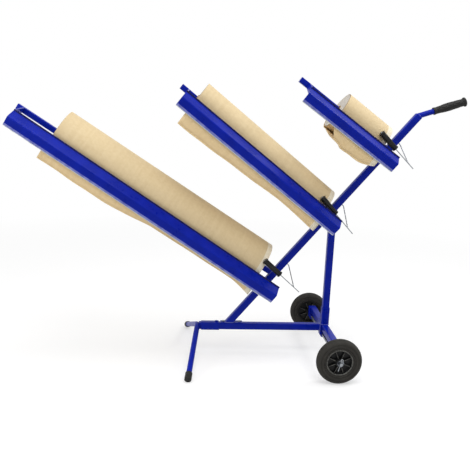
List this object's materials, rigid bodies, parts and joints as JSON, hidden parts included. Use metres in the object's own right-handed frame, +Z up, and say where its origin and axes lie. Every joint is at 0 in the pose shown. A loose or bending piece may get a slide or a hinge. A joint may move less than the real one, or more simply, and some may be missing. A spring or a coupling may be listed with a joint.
{
  "type": "masking paper dispenser",
  "caption": "Wheeled trolley with a raked mast carrying rolls of masking paper, each with a folded cutter bar with a steel blade and a swinging tape holder.",
  "frame": {"origin": "on the floor, under the middle of the bounding box", "axes": "+X towards the wheels and the handle, along the base tube; +Y away from the side with the cutter bars; +Z up"},
  "size_m": [1.6112, 0.5916, 1.0387],
  "materials": {
    "blue_paint": "glossy blue enamel on steel tube and sheet",
    "zinc": "zinc-plated steel",
    "blade_steel": "bright ground steel",
    "rubber": "matte dark grey rubber",
    "tyre_rubber": "matte dark grey tyre",
    "black_plastic": "black moulded plastic",
    "kraft_paper": "pale brown masking paper",
    "cardboard": "brown cardboard tube"
  },
  "bodies": {
    "frame": {"base_tube": "blue_paint", "front_socket": "blue_paint", "foot_tube": "blue_paint", "foot_cap_near": "rubber", "foot_cap_far": "rubber", "axle_beam": "blue_paint", "beam_plug_near": "black_plastic", "beam_plug_far": "black_plastic", "axle_rod": "zinc", "axle_eye_near": "blue_paint", "axle_eye_middle": "blue_paint", "axle_eye_far": "blue_paint", "washer_near": "zinc", "washer_far": "zinc", "split_pin_near": "zinc", "split_pin_far": "zinc", "mast_foot_plate": "blue_paint", "mast_screw_front": "zinc", "mast_screw_rear": "zinc", "mast": "blue_paint", "strut_socket": "blue_paint", "strut_screw_lower": "blue_paint", "strut_screw_upper": "blue_paint", "strut": "blue_paint", "handle_tube": "blue_paint", "handle_grip": "rubber", "mandrel_large": "blue_paint", "paper_tail_large": "kraft_paper", "cutter_bar_large": "blue_paint", "cutter_blade_large": "blade_steel", "bar_bracket_large": "blue_paint", "end_plate_large": "blue_paint", "mandrel_medium": "blue_paint", "paper_tail_medium": "kraft_paper", "cutter_bar_medium": "blue_paint", "cutter_blade_medium": "blade_steel", "bar_bracket_medium": "blue_paint", "end_plate_medium": "blue_paint", "mandrel_small": "blue_paint", "paper_tail_small": "kraft_paper", "cutter_bar_small": "blue_paint", "cutter_blade_small": "blade_steel", "bar_bracket_small": "blue_paint", "end_plate_small": "blue_paint"},
    "wheel_near_set": {"wheel_near": "black_plastic", "tyre_near": "tyre_rubber"},
    "wheel_far_set": {"wheel_far": "black_plastic", "tyre_far": "tyre_rubber"},
    "roll_large": {"roll_core_large": "cardboard", "paper_roll_large": "kraft_paper"},
    "holder_large": {"tape_holder_large": "zinc"},
    "spool_large": {"tape_spool_large": "black_plastic"},
    "roll_medium": {"roll_core_medium": "cardboard", "paper_roll_medium": "kraft_paper"},
    "holder_medium": {"tape_holder_medium": "zinc"},
    "spool_medium": {"tape_spool_medium": "black_plastic"},
    "roll_small": {"roll_core_small": "cardboard", "paper_roll_small": "kraft_paper"},
    "holder_small": {"tape_holder_small": "zinc"},
    "spool_small": {"tape_spool_small": "black_plastic"}
  },
  "joints": [
    {"name": "wheel_near_spin", "type": "hinge", "parent": "frame", "child": "wheel_near_set", "pos_m": [0.33643, -0.263, 0.08], "axis": [0, 1, 0], "continuous": true},
    {"name": "wheel_far_spin", "type": "hinge", "parent": "frame", "child": "wheel_far_set", "pos_m": [0.33643, 0.263, 0.08], "axis": [0, 1, 0], "continuous": true},
    {"name": "roll_large_spin", "type": "hinge", "parent": "frame", "child": "roll_large", "pos_m": [-0.29137, 0, 0.5789], "axis": [-0.8462, 0, 0.5329], "continuous": true},
    {"name": "tape_holder_large_swing", "type": "hinge", "parent": "frame", "child": "holder_large", "pos_m": [0.17094, 0, 0.36527], "axis": [-0.7705, 0, 0.6374], "range_deg": [0, 60]},
    {"name": "tape_spool_large_spin", "type": "hinge", "parent": "holder_large", "child": "spool_large", "pos_m": [0.11166, -0.09676, 0.36542], "axis": [-0.7524, 0, 0.6587], "continuous": true},
    {"name": "roll_medium_spin", "type": "hinge", "parent": "frame", "child": "roll_medium", "pos_m": [0.05889, 0, 0.76157], "axis": [-0.7912, 0, 0.6115], "continuous": true},
    {"name": "tape_holder_medium_swing", "type": "hinge", "parent": "frame", "child": "holder_medium", "pos_m": [0.363, 0, 0.59743], "axis": [-0.7705, 0, 0.6374], "range_deg": [0, 60]},
    {"name": "tape_spool_medium_spin", "type": "hinge", "parent": "holder_medium", "child": "spool_medium", "pos_m": [0.30513, -0.08161, 0.59416], "axis": [-0.6858, 0, 0.7278], "continuous": true},
    {"name": "roll_small_spin", "type": "hinge", "parent": "frame", "child": "roll_small", "pos_m": [0.41088, 0, 0.87296], "axis": [-0.8211, 0, 0.5707], "continuous": true},
    {"name": "tape_holder_small_swing", "type": "hinge", "parent": "frame", "child": "holder_small", "pos_m": [0.55588, 0, 0.83059], "axis": [-0.7705, 0, 0.6374], "range_deg": [0, 60]},
    {"name": "tape_spool_small_spin", "type": "hinge", "parent": "holder_small", "child": "spool_small", "pos_m": [0.50063, -0.08132, 0.83143], "axis": [-0.7218, 0, 0.6921], "continuous": true}
  ]
}
